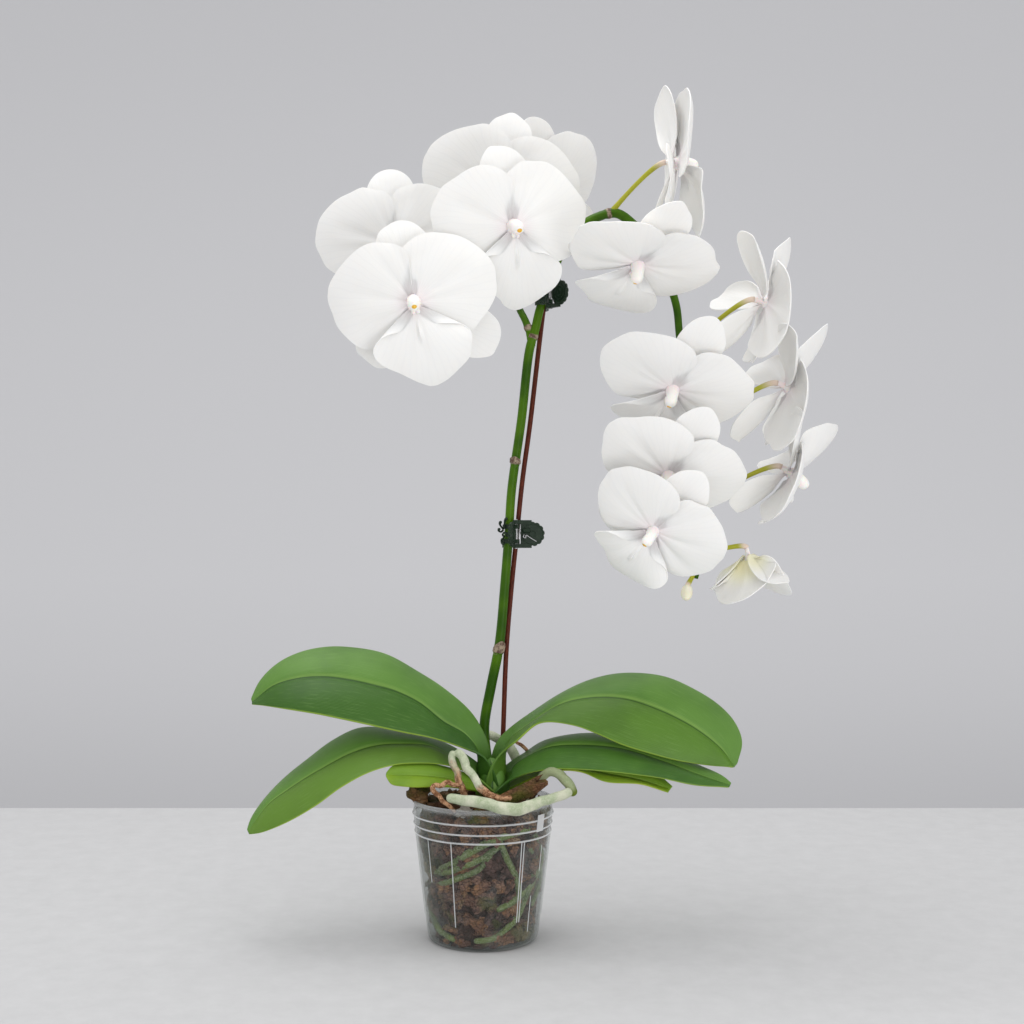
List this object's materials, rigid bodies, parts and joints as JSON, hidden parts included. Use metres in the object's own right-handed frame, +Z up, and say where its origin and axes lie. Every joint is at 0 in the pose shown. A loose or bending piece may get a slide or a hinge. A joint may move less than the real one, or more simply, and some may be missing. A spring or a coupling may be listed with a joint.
{
  "type": "potted moth orchid",
  "caption": "Moth orchid in a clear nursery pot: arching flower stalks with white blooms, broad strap leaves, aerial roots in bark, a slim stake and spring clips.",
  "frame": {"origin": "middle of the underside of the pot", "axes": "+Z up; -Y is the front, the side that the blooms face; +X is to the right as seen from the front"},
  "size_m": [0.5106, 0.2497, 0.7347],
  "materials": {
    "clear_plastic": "gloss",
    "bark": "matte",
    "root": "matte",
    "leaf": "satin",
    "young_leaf": "satin",
    "stalk": "satin",
    "petal": "satin",
    "bud": "satin",
    "stake": "satin",
    "clip": "satin",
    "steel": "gloss"
  },
  "bodies": {
    "plant": {"pot": "clear_plastic", "roots": "root", "crown": "leaf", "bark": "bark", "leaf_left_upper": "leaf", "leaf_left_lower": "leaf", "leaf_right_upper": "leaf", "leaf_right_lower": "leaf", "leaf_left_small": "young_leaf", "leaf_right_small": "young_leaf", "stalk_main": "stalk", "stalk_branch": "stalk", "bloom_left_1": "petal", "bloom_left_2": "petal", "bloom_left_3": "petal", "bloom_left_4": "petal", "bloom_left_5": "petal", "bloom_right_1": "petal", "bloom_right_2": "petal", "bloom_right_3": "petal", "bloom_right_4": "petal", "bloom_right_5": "petal", "bloom_right_6": "petal", "bloom_right_7": "petal", "bloom_right_8": "petal", "bloom_right_9": "petal", "bud": "bud", "stake": "stake", "clip_lower_jaw_fixed": "clip", "clip_lower_pin": "steel", "clip_lower_spring": "steel", "clip_upper_jaw_fixed": "clip", "clip_upper_pin": "steel", "clip_upper_spring": "steel"},
    "clip_lower_moving": {"clip_lower_jaw_moving": "clip"},
    "clip_upper_moving": {"clip_upper_jaw_moving": "clip"}
  },
  "joints": [
    {"name": "clip_lower_squeeze", "type": "hinge", "parent": "plant", "child": "clip_lower_moving", "pos_m": [0.0285, 0.0035, 0.347], "axis": [0, 0, 1], "range_deg": [0, 30], "stiffness_Nm_per_rad": 0.02},
    {"name": "clip_upper_squeeze", "type": "hinge", "parent": "plant", "child": "clip_upper_moving", "pos_m": [0.057, -0.005, 0.5525], "axis": [0, 0, 1], "range_deg": [0, 30], "stiffness_Nm_per_rad": 0.02}
  ]
}
